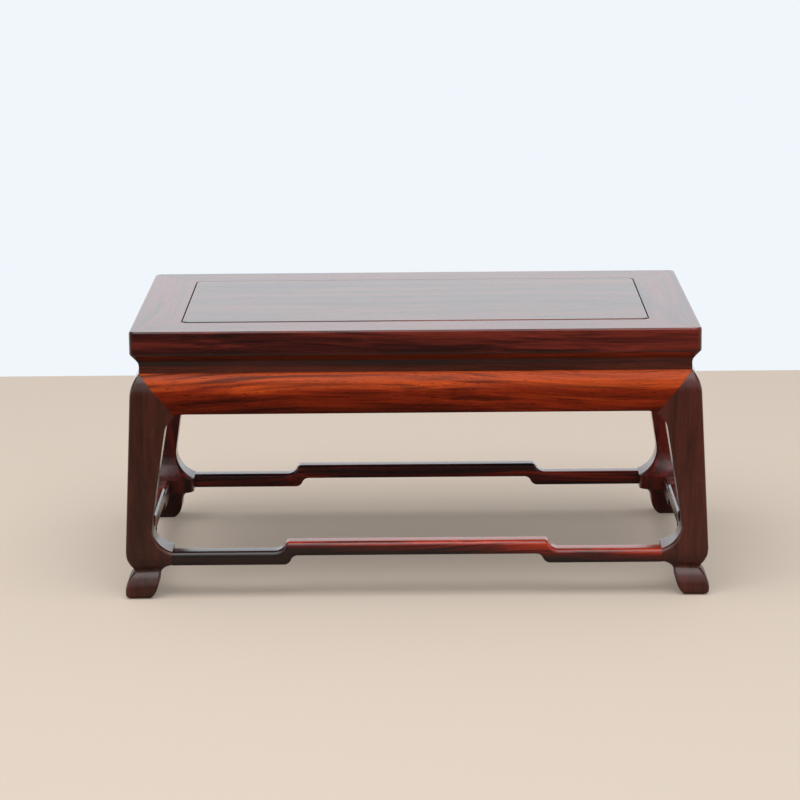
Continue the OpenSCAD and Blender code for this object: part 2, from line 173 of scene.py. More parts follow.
def rosewood(name, dark, body, bright, vein, look):
    """Waxed rosewood: four colours and how strongly the figure shows."""
    material = bpy.data.materials.new(name)
    tree = empty_tree(material)
    grain = add_node(tree, "ShaderNodeAttribute", attribute_name="grain").outputs["Vector"]

    # The board's slow sway moves the figure sideways as it goes along
    slow = add_node(
        tree, VECTOR, grain, (1 / SWAY_LENGTH, 1 / SWAY_WIDTH, 1 / SWAY_WIDTH),
        operation="MULTIPLY",
    )
    sway = add_node(tree, NOISE, Vector=slow, Scale=1.0, Detail=1.0, Roughness=0.4)
    aside = add_node(
        tree, VECTOR, sway.outputs["Color"], (0, SWAY_REACH * 2, SWAY_REACH * 2),
        (0, -SWAY_REACH, -SWAY_REACH), operation="MULTIPLY_ADD",
    )
    swayed = add_node(tree, VECTOR, grain, aside, operation="ADD")
    layer = {}
    for label, (length, width, detail, rough) in FIGURE.items():
        narrow = 1 / (width * look["width"])
        place = add_node(
            tree, VECTOR, swayed, (1 / length, narrow, narrow), operation="MULTIPLY"
        )
        layer[label] = add_node(
            tree, NOISE, Vector=place, Scale=1.0, Detail=detail, Roughness=rough
        )

    # Broad bands; a board lies nearer the dark heart or the orange outside of the log, and
    # on the aprons its tone also rises towards the top as painted light and shade
    heart_and_shade = add_node(tree, "ShaderNodeAttribute", attribute_name="heart_and_shade").outputs["Fac"]
    tone = add_node(tree, MATH, layer["bands"], heart_and_shade, operation="ADD")
    ramp = add_node(tree, "ShaderNodeValToRGB", tone)
    stops = ramp.color_ramp.elements
    stops[0].position, stops[0].color = look["dark_at"], linear(dark)
    stops[1].position, stops[1].color = look["bright_at"], linear(bright)
    stops.new((look["dark_at"] + look["bright_at"]) / 2).color = linear(body)

    # Nearly black veins, then fibres a little lighter and darker, then open pores
    vein_share = add_node(tree, RANGE, layer["veins"], To_Max=look["vein"], **VEIN_RANGE)
    veined = add_node(
        tree, MIX, vein_share, *TO_COLOURS, ramp, linear(vein), data_type="RGBA"
    )
    fibre_light = add_node(
        tree, RANGE, layer["fibres"], To_Min=1 - look["fibre"], To_Max=1 + look["fibre"],
        **FIBRE_RANGE,
    )
    fibred = add_node(
        tree, VECTOR, veined.outputs[2], Scale=fibre_light, operation="SCALE"
    )
    pore_mask = add_node(tree, RANGE, layer["pores"], **PORE_RANGE)
    pore_share = add_node(tree, MATH, pore_mask, look["pore"], operation="MULTIPLY")
    colour = add_node(
        tree, MIX, pore_share, *TO_COLOURS, fibred, linear(PORE_COLOUR), data_type="RGBA"
    ).outputs[2]

    # Wax lies smooth on the fibres and dull in the pores
    roughness = add_node(
        tree, RANGE, layer["fibres"], To_Min=ROSEWOOD_ROUGHNESS - ROUGHNESS_SPREAD,
        To_Max=ROSEWOOD_ROUGHNESS + ROUGHNESS_SPREAD, **FIBRE_RANGE,
    )
    relief = add_node(
        tree, MATH, pore_mask, -1.0, layer["fibres"], operation="MULTIPLY_ADD"
    )
    bump = add_node(
        tree, "ShaderNodeBump", Strength=RELIEF_STRENGTH, Distance=RELIEF_DEPTH * MM,
        Height=relief,
    )
    shader = add_node(
        tree, "ShaderNodeBsdfPrincipled", colour, Roughness=roughness, Normal=bump,
        IOR=look["wood"], Coat_Weight=1.0, Coat_Roughness=look["dull"],
        Coat_IOR=look["wax"],
    )
    add_node(tree, "ShaderNodeOutputMaterial", shader)
    return material


LOOK = {
    "dark_at": 0.34, "bright_at": 0.68, "vein": 0.75, "fibre": 0.22, "pore": 0.6,
    "wood": 1.36, "wax": 1.42, "dull": 0.18, "width": 1.0,
}
LEG_LOOK = dict(LOOK, vein=0.2, fibre=0.1, pore=0.3, wax=1.45, dull=0.3, width=0.6)
# Dark ground, body, bright bands and veins of each finish, and how they show
FINISHES = {
    "frame": (
        "#301813", "#561b13", "#903322", "#26110c",
        dict(LOOK, vein=0.6, fibre=0.3, pore=0.25, width=0.6)),
    "panel": ("#46241a", "#763a29", "#9c5034", "#2f1811", LOOK),
    "batten": ("#2a120f", "#431a14", "#5c2619", "#1d0d0b", LOOK),
    "waist": (
        "#542617", "#693020", "#7e3a28", "#3a1c12", dict(LOOK, vein=0.4, pore=0.3)),
    "apron": (
        "#581a0b", "#9e2f0e", "#e2571c", "#3a1209",
        dict(LOOK, vein=0.7, pore=0.55, wood=1.2, wax=1.16)),
    "leg": ("#431e12", "#552818", "#6c3023", "#381a0e", LEG_LOOK),
    "back_leg": ("#451710", "#692219", "#962c1e", "#35150e", LEG_LOOK),
    "stretcher": (
        "#331d17", "#741d11", "#d8401e", "#21120e",
        dict(LOOK, dark_at=0.38, bright_at=0.66, wax=1.5, width=0.5)),
}
WOODS = {
    f"{piece}_rosewood": rosewood(f"waxed_rosewood_{piece}", *finish)
    for piece, finish in FINISHES.items()
}
print("rosewood finishes:", sorted(WOODS))

# %% [markdown]
# The drawing behind every piece.
# Front and side share one drawing in (s, z): s is how far a point lies inside
# the edge of the top, z its height. Each curve is an arc with a centre, a radius
# and two angles, as it would be set out with compasses on a template.

# %% Sizes of the stand, in millimetres
TOP_LENGTH, TOP_DEPTH, STAND_HEIGHT = 240, 140, 115
RAIL_WIDTH, RAIL_THICK, RAIL_ARRIS = 20.5, 15.5, 0.9
NOSE_RADIUS, COVE_RADIUS, SLAB_CORNER = 1.6, 4.0, 3.0
PANEL_THICK, PANEL_GAP, PANEL_CORNER, PANEL_PROUD = 7.0, 0.4, 4.0, 0.2
TONGUE_LENGTH, TONGUE_THICK = 3.0, 2.5
BATTEN_SPACING, BATTEN_WIDTH, BATTEN_DEPTH = 84, 10, 6
WAIST_INSET, WAIST_HEIGHT, WAIST_THICK = 3.75, 3.1, 5.0
APRON_HEIGHT, SHOULDER_RADIUS = 16.9, 14.0
LEG_SPLAY, LEG_LEAN, SHANK_REACH = 2.65, 9.0, 7.9
OPENING_RADIUS, MITRE_TURN, HEEL_RADIUS, SPUR_REACH = 9.0, 118.0, 12.0, 16.2
ANKLE_DROP, NECK_HEIGHT, NECK_INSET = 0.2, 11.8, 0.1
FOOT_REACH, FOOT_SWELL_HEIGHT, TOE_RADIUS, NECK_EASE = 3.9, 2.8, 2.0, 1.6
SOLE_REACH, INSTEP_REACH = 6.4, 10.3
STRETCHER_BASE, STRETCHER_HEIGHT = 14.1, 6.1
STRETCHER_THICK, STRETCHER_REACH = 8.4, 2.75
LONG_HUMP, END_HUMP, HUMP_RISE = 111, 50, 4.0
HUMP_RUN, HUMP_LOWER_RUN, HUMP_SHIFT = 5.0, 6.0, 4.0

RAIL_BASE, RAIL_TOP = STAND_HEIGHT - RAIL_THICK, STAND_HEIGHT - PANEL_PROUD
APRON_TOP = RAIL_BASE - WAIST_HEIGHT
APRON_BASE = APRON_TOP - APRON_HEIGHT
TONGUE_BASE = STAND_HEIGHT - PANEL_THICK
STRETCHER_TOP = STRETCHER_BASE + STRETCHER_HEIGHT
WAIST_REAR = WAIST_INSET + WAIST_THICK
ARC_STEPS = 12


def arc(centre, radius, start, end, steps=ARC_STEPS):
    """Points of an arc, angles in degrees."""
    angles = [math.radians(start + (end - start) * i / steps) for i in range(steps + 1)]
    return [
        (centre[0] + radius * math.cos(a), centre[1] + radius * math.sin(a))
        for a in angles
    ]


def swell(across, along):
    """Radius and turn of an arc that leaves an upright line."""
    return (across ** 2 + along ** 2) / (2 * across), math.degrees(
        2 * math.atan(across / along)
    )


def along_line(points, level):
    """First coordinate of a chain of points at a level of its second one."""
    chain = sorted(points, key=lambda p: p[1])
    for (s0, z0), (s1, z1) in zip(chain, chain[1:]):
        if z0 <= level <= z1 and z1 > z0:
            return s0 + (s1 - s0) * (level - z0) / (z1 - z0)
    return chain[0][0] if level < chain[0][1] else chain[-1][0]


print("levels:", APRON_BASE, APRON_TOP, RAIL_BASE, STRETCHER_TOP)

# %% Outline of the leg
splay, lean = math.radians(LEG_SPLAY), math.radians(LEG_LEAN)
half_turn = math.sqrt(0.5)
shoulder_rise = SHOULDER_RADIUS * half_turn
shoulder_arc = (
    (WAIST_INSET + shoulder_rise, APRON_TOP - shoulder_rise),
    SHOULDER_RADIUS, 135, 180 - LEG_SPLAY,
)
shoulder = arc(*shoulder_arc)


def leg_face(z):
    """Outer face of the leg at a height below the shoulder."""
    return shoulder[-1][0] - (shoulder[-1][1] - z) * math.tan(splay)


ankle_top = STRETCHER_TOP - ANKLE_DROP
ankle_s = leg_face(ankle_top)
ankle_radius, ankle_turn = swell(NECK_INSET - ankle_s, ankle_top - NECK_HEIGHT)
foot_radius, foot_turn = swell(NECK_INSET + FOOT_REACH, NECK_HEIGHT - FOOT_SWELL_HEIGHT)
OUTER_ARCS = (
    shoulder_arc,
    ((ankle_s + ankle_radius, ankle_top), ankle_radius, 180, 180 + ankle_turn),
    ((foot_radius - FOOT_REACH, FOOT_SWELL_HEIGHT), foot_radius, 180 - foot_turn, 180),
    ((TOE_RADIUS - FOOT_REACH, TOE_RADIUS), TOE_RADIUS, 180, 270),
)

cove_z = STRETCHER_BASE - (SPUR_REACH - INSTEP_REACH)
instep_radius, instep_turn = swell(INSTEP_REACH - SOLE_REACH, cove_z)
heel_s = SHANK_REACH + HEEL_RADIUS
heel_z = STRETCHER_TOP + math.sqrt(HEEL_RADIUS ** 2 - (heel_s - SPUR_REACH) ** 2)
heel_start = 180 + math.degrees(math.acos((heel_s - SPUR_REACH) / HEEL_RADIUS))
heel_arc = ((heel_s, heel_z), HEEL_RADIUS, heel_start, 180 - LEG_LEAN)
heel_end = arc(*heel_arc)[-1]
crown_z = APRON_BASE - OPENING_RADIUS
crown_s = (
    heel_end[0] + (crown_z - heel_end[1]) * math.tan(lean) + OPENING_RADIUS / math.cos(lean)
)
INNER_ARCS = (
    ((INSTEP_REACH - instep_radius, cove_z), instep_radius, -instep_turn, 0),
    ((SPUR_REACH, cove_z), SPUR_REACH - INSTEP_REACH, 180, 90),
    heel_arc,
    ((crown_s, crown_z), OPENING_RADIUS, 180 - LEG_LEAN, MITRE_TURN),
)
crown_apron = arc((crown_s, crown_z), OPENING_RADIUS, MITRE_TURN, 90)
mitre_low, mitre_high = crown_apron[0], (WAIST_INSET, APRON_TOP)
mitre_slope = (mitre_low[0] - mitre_high[0]) / (mitre_high[1] - mitre_low[1])


def eased(chain, corner, room, steps):
    """The chain with a bend instead of the corner, within room of it."""
    near = [i for i, p in enumerate(chain) if math.dist(p, corner) < room]
    start, end = chain[near[0] - 1], chain[near[-1] + 1]
    bend = []
    for i in range(1, steps):
        f = i / steps
        bend.append(tuple(
            (1 - f) ** 2 * a + 2 * f * (1 - f) * b + f ** 2 * c
            for a, b, c in zip(start, corner, end)
        ))
    return chain[:near[0]] + bend + chain[near[-1] + 1:]


def leg_sides(steps):
    """Outer and inner side of the leg as chains of points."""
    outer = [point for part in OUTER_ARCS for point in arc(*part, steps)]
    outer = eased(outer, (NECK_INSET, NECK_HEIGHT), NECK_EASE, steps)
    inner = [point for part in INNER_ARCS for point in arc(*part, steps)]
    return outer, inner + [mitre_high]


print("mitre from", [round(v, 2) for v in mitre_low], "to", mitre_high)

# %% [markdown]
# A shaped bar.
# A stretcher is a rectangle between its upper and its lower curve, a batten and
# the post of a leg are plain bars. All follow one rule: at each station along the
# bar the section is a rectangle with known limits. A path of points carries those
# limits as attributes, Curve to Mesh strings a unit square along it, and Set
# Position moves every corner to its place. The tree also writes how round each
# edge is to be, as a bevel weight.

# %% Geometry Nodes tree: shaped bar
BEVEL_WIDTH, SAME_STATION = 3.0, 1e-4
ATTRIBUTE = "GeometryNodeInputNamedAttribute"
LIMITS = ("a_low", "a_high", "b_low", "b_high")
ARRISES = ("arris_00", "arris_10", "arris_01", "arris_11")


def new_tree(name, numbers, objects=()):
    """An empty tree with a geometry socket, a material and named numbers."""
    tree = bpy.data.node_groups.new(name, "GeometryNodeTree")
    face = tree.interface
    face.new_socket("Geometry", in_out="INPUT", socket_type="NodeSocketGeometry")
    face.new_socket("Geometry", in_out="OUTPUT", socket_type="NodeSocketGeometry")
    face.new_socket("Material", in_out="INPUT", socket_type="NodeSocketMaterial")
    for label in objects:
        face.new_socket(label, in_out="INPUT", socket_type="NodeSocketObject")
    for label in numbers:
        face.new_socket(label, in_out="INPUT", socket_type="NodeSocketFloat")
    return tree


def bevel_weights(tree, mesh, field):
    """Writes a bevel weight on every edge: arris along the piece, ring across it.
    An edge along the piece takes the arris written at its farther station."""
    ends = add_node(tree, "GeometryNodeInputMeshEdgeVertices").outputs
    at = {
        (label, side): add_node(
            tree, "GeometryNodeFieldAtIndex", data_type="FLOAT", domain="POINT",
            Value=field[label], Index=ends[side],
        )
        for label in ("station", "arris") for side in (0, 1)
    }
    step = add_node(tree, MATH, at["station", 1], at["station", 0], operation="SUBTRACT")
    size = add_node(tree, MATH, step, operation="ABSOLUTE")
    runs = add_node(tree, MATH, size, SAME_STATION, operation="GREATER_THAN")
    farther = add_node(tree, MATH, step, 0.0, operation="GREATER_THAN")
    along = add_node(tree, MIX, farther, None, at["arris", 0], at["arris", 1])
    chosen = add_node(tree, MIX, runs, None, field["ring"], along)
    weight = add_node(tree, MATH, chosen, BEVEL_WIDTH, operation="DIVIDE")
    return add_node(
        tree, "GeometryNodeStoreNamedAttribute", data_type="FLOAT", domain="EDGE",
        Geometry=mesh, Name="bevel_weight_edge", Value=weight,
    )


def named_fields(tree, *labels):
    """The attributes that a tree reads, by name."""
    return {label: add_node(tree, ATTRIBUTE, label, data_type="FLOAT") for label in labels}


def close_tree(tree, source, mesh, corner, field):
    """Every tree ends alike: corners in place, then real faces with a material."""
    metres = add_node(tree, VECTOR, corner, Scale=source["Unit"], operation="SCALE")
    placed = add_node(tree, "GeometryNodeSetPosition", Geometry=mesh, Position=metres)
    marked = bevel_weights(tree, placed, field)
    real = add_node(tree, "GeometryNodeRealizeInstances", marked)
    dressed = add_node(
        tree, "GeometryNodeSetMaterial", Geometry=real, Material=source["Material"]
    )
    add_node(tree, "NodeGroupOutput", dressed)


def shaped_bar_tree():
    tree = new_tree("shaped_bar", ("Unit",))
    source = add_node(tree, "NodeGroupInput").outputs
    path = add_node(tree, "GeometryNodeMeshToCurve", source["Geometry"])
    square = add_node(
        tree, "GeometryNodeCurvePrimitiveQuadrilateral", Width=1.0, Height=1.0
    )
    place = add_node(
        tree, "ShaderNodeSeparateXYZ", add_node(tree, "GeometryNodeInputPosition")
    ).outputs
    for label, side in (("u", place[0]), ("v", place[1])):
        square = add_node(
            tree, "GeometryNodeStoreNamedAttribute", data_type="FLOAT", domain="POINT",
            Geometry=square, Name=label,
            Value=add_node(tree, MATH, side, 0.5, operation="ADD"),
        )
    bar = add_node(
        tree, "GeometryNodeCurveToMesh", Curve=path, Profile_Curve=square, Fill_Caps=True
    )
    field = named_fields(tree, "u", "v", "station", "ring", *LIMITS, *ARRISES)
    corner = add_node(
        tree, "ShaderNodeCombineXYZ",
        add_node(tree, MIX, field["u"], None, field["a_low"], field["a_high"]),
        add_node(tree, MIX, field["v"], None, field["b_low"], field["b_high"]),
        field["station"],
    )
    low, high = (
        add_node(tree, MIX, field["u"], None, field["arris_0" + v], field["arris_1" + v])
        for v in "01"
    )
    field["arris"] = add_node(tree, MIX, field["v"], None, low, high)
    close_tree(tree, source, bar, corner, field)
    return tree


SHAPED_BAR = shaped_bar_tree()
print("shaped bar tree:", len(SHAPED_BAR.nodes), "nodes")

# %% [markdown]
# From a path to a finished board.
# The path is a mesh of points in a row, with one list of numbers per attribute.
# The tree's result is turned into a plain mesh, doubles are merged and flat
# neighbours joined, and only then do Bevel and Weighted Normal round the marked
# edges and keep the flat faces flat. Rounding after joining lets the bevel run
# cleanly past the many stations that a curve needs.

# %% Path and tree run
MERGE_GAP, FLAT_TURN = 1e-6, 0.2


def points_in_a_row(name, columns, closed=False):
    """A mesh of edges whose points carry the given lists as attributes."""
    count = len(next(iter(columns.values())))
    mesh = bpy.data.meshes.new(name)
    links = [(i, i + 1) for i in range(count - 1)]
    links += [(count - 1, 0)] if closed else []
    mesh.from_pydata([(0, 0, i) for i in range(count)], links, [])
    if closed:
        turn = math.tau / count
        for i, point in enumerate(mesh.vertices):
            point.co = (math.cos(turn * i), math.sin(turn * i), 0)
    for label, values in columns.items():
        mesh.attributes.new(label, "FLOAT", "POINT").data.foreach_set("value", values)
    return new_object(name, mesh)


def evaluated_mesh(obj):
    """A plain mesh of an object with its modifiers worked in."""
    graph = bpy.context.evaluated_depsgraph_get()
    graph.update()
    return bpy.data.meshes.new_from_object(obj.evaluated_get(graph))


def run_tree(obj, tree, **inputs):
    """Runs a tree on an object and returns the result as a plain mesh."""
    modifier = obj.modifiers.new("shape", "NODES")
    modifier.node_group = tree
    sockets = {
        item.name: item.identifier
        for item in tree.interface.items_tree if item.in_out == "INPUT"
    }
    for label, value in inputs.items():
        modifier[sockets[label.replace("_", " ")]] = value
    mesh = evaluated_mesh(obj)
    bpy.data.objects.remove(obj)
    return mesh


def clean(mesh, flat=FLAT_TURN):
    """Merges doubles, joins flat neighbours and turns all faces outwards."""
    work = bmesh.new()
    work.from_mesh(mesh)
    bmesh.ops.remove_doubles(work, verts=work.verts, dist=MERGE_GAP)
    bmesh.ops.dissolve_degenerate(work, edges=work.edges, dist=MERGE_GAP)
    bmesh.ops.dissolve_limit(
        work, angle_limit=math.radians(flat), verts=work.verts, edges=work.edges
    )
    bmesh.ops.recalc_face_normals(work, faces=work.faces)
    work.to_mesh(mesh)
    work.free()
    return mesh


def shaped_bar(slot, station, **columns):
    """A bar along its stations. Each limit or arris is one number for all of them,
    or a list with one for each; an arris that isn't given is left sharp."""
    columns = dict(dict.fromkeys(ARRISES + ("ring",), 0.0), station=station, **columns)
    for label, value in columns.items():
        columns[label] = value if isinstance(value, list) else [value] * len(station)
    path = points_in_a_row("bar_path", columns)
    return clean(run_tree(path, SHAPED_BAR, Unit=MM, Material=WOODS[slot]))


print("flat neighbours join within", FLAT_TURN, "degrees")

# %% Edge finish
ARRIS_SEGMENTS, CREASE_TURN = 4, 32


def soften(mesh):
    """Rounds the marked edges."""
    obj = new_object("soften", mesh)
    bevel = obj.modifiers.new("arris", "BEVEL")
    bevel.limit_method, bevel.offset_type = "WEIGHT", "OFFSET"
    bevel.width, bevel.segments = BEVEL_WIDTH * MM, ARRIS_SEGMENTS
    bevel.use_clamp_overlap = False
    rounded = evaluated_mesh(obj)
    bpy.data.objects.remove(obj)
    return rounded


def smooth_shading(obj):
    """Smooth over rounded edges, crisp at creases, with flat faces weighted."""
    obj.data.shade_smooth()
    obj.data.set_sharp_from_angle(angle=math.radians(CREASE_TURN))
    obj.modifiers.new("weighted", "WEIGHTED_NORMAL").keep_sharp = True
    finished = evaluated_mesh(obj)
    obj.modifiers.clear()
    obj.data = finished


print("edge finish ready, widest arris", BEVEL_WIDTH, "mm")

# %% Putting a board in place
KEPT = ("position", "sharp_edge", "custom_normal", "material_index")
GRAIN_TURN = {
    "x": lambda p: (p.x, p.y, p.z),
    "y": lambda p: (p.y, -p.x, p.z),
    "z": lambda p: (p.z, p.x, p.y),
}
PIECES = []


def board(node, mesh, place, slot, grain, cut, tone=(0.0, 0.0, 0.0), wood=None):
    """Puts a mesh in place as the visible piece of a CAD node, with its grain.
    cut is where in the log the board was sawn, in millimetres; tone says how its
    colour drifts: overall, from end to end and from bottom to top. wood names a
    finish other than the slot's own."""
    mesh.transform(place)
    mesh.name = node + "_wood"
    obj = new_object(node + "_wood", mesh)
    smooth_shading(obj)
    mesh = obj.data
    mesh.name = node + "_wood"
    for label in [a.name for a in mesh.attributes if a.name not in KEPT]:
        if not mesh.attributes[label].is_required:
            mesh.attributes.remove(mesh.attributes[label])
    # Each point's tone and its drift from bottom to top are stored beside the grain; on the
    # aprons that drift is painted light and shade
    values, heart_and_shade_values = [], []
    up = [p.co.z / MM for p in mesh.vertices]
    middle, half = (max(up) + min(up)) / 2, (max(up) - min(up)) / 2
    for point in mesh.vertices:
        turned = GRAIN_TURN[grain](point.co / MM)
        values += [turned[i] + cut[i] for i in range(3)]
        end = turned[0] / (TOP_LENGTH / 2)
        heart_and_shade_values.append(
            tone[0] + tone[1] * end + tone[2] * (point.co.z / MM - middle) / half
        )
    lines = mesh.attributes.new("grain", "FLOAT_VECTOR", "POINT")
    lines.data.foreach_set("vector", values)
    mesh.attributes.new("heart_and_shade", "FLOAT", "POINT").data.foreach_set("value", heart_and_shade_values)
    mesh.materials.clear()
    mesh.materials.append(WOODS[wood or slot])
    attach(obj, "root")
    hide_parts(node)
    PIECES.append(obj)


print("a board's grain can run along", sorted(GRAIN_TURN))

# %% [markdown]
# The legs.
# The leg takes the most skill: a hip that bows out under the waist, a shank that
# splays, a spur that meets the stretchers, and a foot that flares from a sharp
# neck. It is sawn to one outline on its front and again on its side, so at every
# height it is a square between the outer and the inner curve. Its edges are
# rounded by hand: the long corner evenly, the openings more and more from the
# apron down to the stretchers, and the mitre against the apron hardly at all. A
# bevel stumbles where such different edges meet, so the rounded rings are drawn one
# by one and skinned. Each edge is set in square to the curve it follows, as a
# scraper would leave it.

# %% Levels of a leg
CORNER_ARRIS, JOINT_ARRIS = 1.6, 0.1
SIDE_ARRIS = {"foot": 0.7, "spur": JOINT_ARRIS, "shank": 0.7, "mitre": JOINT_ARRIS}
BACK_ARRIS = {"foot": 0.5, "spur": 0.5, "shank": 0.9, "mitre": JOINT_ARRIS}
SPUR_ROUNDING, SPUR_START, UNDER_FRONT, OVER_FRONT = 0.62, 9.5, 1.9, 2.1
SPUR_ROOM, LEVEL_GAP, LEVEL_SLACK = 0.15, 0.08, 0.01


def leg_zone(z):
    """Part of the leg that an edge ending at this height belongs to."""
    if z <= STRETCHER_BASE + LEVEL_SLACK:
        return "foot"
    if z <= STRETCHER_TOP + LEVEL_SLACK:
        return "spur"
    return "shank" if z <= mitre_low[1] + LEVEL_SLACK else "mitre"


def stations(points, gap):
    """Levels of a chain of points, without those that almost coincide."""
    kept = []
    for level in sorted({round(p[1], 4) for p in points}):
        if not kept or level - kept[-1] > gap:
            kept.append(level)
    return kept


def leg_levels():
    """Heights of the rings, with room for the rounding at the spur's corners."""
    outer, inner = leg_sides(ARC_STEPS)
    low = STRETCHER_BASE + UNDER_FRONT + SPUR_ROOM
    high = STRETCHER_TOP - OVER_FRONT - SPUR_ROOM
    corners = (STRETCHER_BASE, STRETCHER_TOP, mitre_low[1], low, high)
    levels = [
        z for z in stations(outer + inner, LEVEL_GAP)
        if (not STRETCHER_BASE < z < STRETCHER_TOP or low < z < high)
        and all(abs(z - corner) > LEVEL_GAP for corner in corners)
    ]
    return sorted(levels[:-1] + list(corners) + [APRON_TOP])


print("levels of a leg:", len(leg_levels()))

# %% Rings of a leg
RING_STEPS, FINE_STEPS = 6, 8 * ARC_STEPS
NEARLY_STRAIGHT, SLIVER = 0.02, 1e-7
# No rounding takes more than its share of the wood left at a narrow level
CORNER_SHARE, SIDE_SHARE, BACK_SHARE = 0.3, 0.2, 0.34


def set_in(before, point, after, r_before, r_after):
    """A corner of the outline moved into the wood, square to both of its edges."""
    normals = []
    for start, end in ((before, point), (point, after)):
        ds, dz = end[0] - start[0], end[1] - start[1]
        size = math.hypot(ds, dz)
        normals.append((-dz / size, ds / size))
    (s1, z1), (s2, z2) = normals
    turn = s1 * z2 - z1 * s2
    if abs(turn) < NEARLY_STRAIGHT:
        return point[0] + s1 * r_before, point[1] + z1 * r_before
    return (
        point[0] + (r_before * z2 - r_after * z1) / turn,
        point[1] + (r_after * s1 - r_before * s2) / turn,
    )


def round_edge(corner, first, last):
    """Points of a rounded edge from one face to the next."""
    corner, first, last = Vector(corner), Vector(first), Vector(last)
    turns = [math.pi / 2 * i / RING_STEPS for i in range(RING_STEPS + 1)]
    return [
        corner + (first - corner) * (1 - math.sin(a))
        + (last - corner) * (1 - math.cos(a))
        for a in turns
    ]


def leg_rings():
    """Closed rings of points from the sole up to the waist."""
    levels = leg_levels()
    outer_line, inner_line = leg_sides(FINE_STEPS)
    inner = [(along_line(inner_line, z), z) for z in levels]
    inner[-1] = mitre_high
    zones = [leg_zone(z) for z in levels]
    rings = []
    for i, (reach, z) in enumerate(inner):
        face = along_line(outer_line, z)
        wide = reach - face
        below, above = zones[i], zones[min(i + 1, len(zones) - 1)]
        # Under the spur the edge opens to the rounding of the stretcher
        under = max(0, reach - INSTEP_REACH) / (SPUR_REACH - INSTEP_REACH)
        # and along the opening it narrows from the stretcher to the apron
        over = (mitre_low[1] - z) / (mitre_low[1] - STRETCHER_TOP)
        growth = {"foot": (UNDER_FRONT, under), "shank": (OVER_FRONT, over ** 2)}
        sizes = []
        for zone in (below, above):
            size = min(SIDE_ARRIS[zone], SIDE_SHARE * wide)
            full, share = growth.get(zone, (size, 0))
            sizes.append(size + (full - size) * share)
        r_below, r_above = sizes
        # The two spurs of a leg meet in a round inner corner
        spur = SPUR_ROUNDING * max(0, reach - SPUR_START) if z < heel_end[1] else 0
        side, back = max(sizes), min(BACK_ARRIS[below] + spur, BACK_SHARE * wide)
        corner = min(CORNER_ARRIS, CORNER_SHARE * wide)
        if 0 < i < len(inner) - 1:
            s, level = set_in(inner[i - 1], (reach, z), inner[i + 1], r_below, r_above)
        else:
            s, level = reach - side, z
        front = along_line(outer_line, level)
        near = round_edge((reach, face, z), (s, front, level), (reach, face + side, z))
        rings.append(
            round_edge((face, face, z), (face, face + corner, z), (face + corner, face, z))
            + near
            + round_edge(
                (reach, reach, z), (reach, reach - back, z), (reach - back, reach, z)
            )
            + [Vector((p.y, p.x, p.z)) for p in reversed(near)]
        )
    return rings


def skin(work, rings):
    """Joins rings of points in millimetres to each other and returns their loops."""
    loops = [[work.verts.new(p * MM) for p in ring] for ring in rings]
    for low, high in zip(loops, loops[1:]):
        for i in range(len(low)):
            j = (i + 1) % len(low)
            work.faces.new((low[i], low[j], high[j], high[i]))
    return loops


def new_mesh(name, work):
    """What was worked on, as a mesh of its own."""
    mesh = bpy.data.meshes.new(name)
    work.to_mesh(mesh)
    work.free()
    return mesh


rings = leg_rings()
print("rings of a leg:", len(rings), "with", len(rings[0]), "points each")

# %% Four legs
POST_ARRIS, POST_OVERLAP = 0.5, 1


def leg_mesh():
    """The carved leg, capped at both ends."""
    work = bmesh.new()
    loops = skin(work, rings)
    work.faces.new(loops[0])
    work.faces.new(loops[-1])
    bmesh.ops.remove_doubles(work, verts=work.verts, dist=MERGE_GAP)
    bmesh.ops.dissolve_degenerate(work, edges=work.edges, dist=SLIVER)
    bmesh.ops.recalc_face_normals(work, faces=work.faces)
    return new_mesh("leg", work)


def post_mesh():
    """The square post that goes on up behind apron and waist."""
    low, high = WAIST_REAR, mitre_low[0]
    return shaped_bar(
        "leg_rosewood", [mitre_low[1] - POST_OVERLAP, RAIL_BASE], a_low=low, a_high=high,
        b_low=low, b_high=high, arris_11=POST_ARRIS,
    )


def joined(*meshes):
    work = bmesh.new()
    for mesh in meshes:
        work.from_mesh(mesh)
    return new_mesh("joined", work)


def at_corner(right, back):
    """Turns a piece drawn at the front left corner to any corner."""
    turn = {(0, 0): 0, (1, 0): 90, (1, 1): 180, (0, 1): -90}[right, back]
    corner = Vector(((right - 0.5) * TOP_LENGTH, (back - 0.5) * TOP_DEPTH, 0)) * MM
    return Matrix.Translation(corner) @ Matrix.Rotation(math.radians(turn), 4, "Z")


LEG_TONES = {
    (0, 0): (-0.03, 0.0, 0.0), (1, 0): (0.12, 0.0, 0.0),
    (0, 1): (0.06, 0.0, 0.25), (1, 1): (0.22, 0.0, 0.25),
}
leg_blank = joined(leg_mesh(), soften(post_mesh()))
for depth, back in (("front", 0), ("back", 1)):
    for side, right in (("left", 0), ("right", 1)):
        board(
            f"leg_{depth}_{side}", leg_blank.copy(), at_corner(right, back),
            "leg_rosewood", "z", (410 * back + 130 * right, 37 * right, 61 * back),
            tone=LEG_TONES[right, back], wood="back_leg_rosewood" if back else None,
        )
print("legs:", len(PIECES), "faces each:", len(leg_blank.polygons))

# %% [markdown]
# The stretchers and battens.
# A humpback stretcher is straight at its ends and rises in the middle: on top in
# one hollow curve to a softened crest, below in a slow S. Its upper edges are
# rounded enough to catch two thin lines of light. The battens under the panel
# follow the same rule with a plain section, and only show from below.

# %% Four stretchers and two battens
UNDER_BACK, OVER_BACK, HUMP_CREST = 0.6, 1.45, 2.3
STATION_GAP, BATTEN_ARRIS = 0.05, 1.0


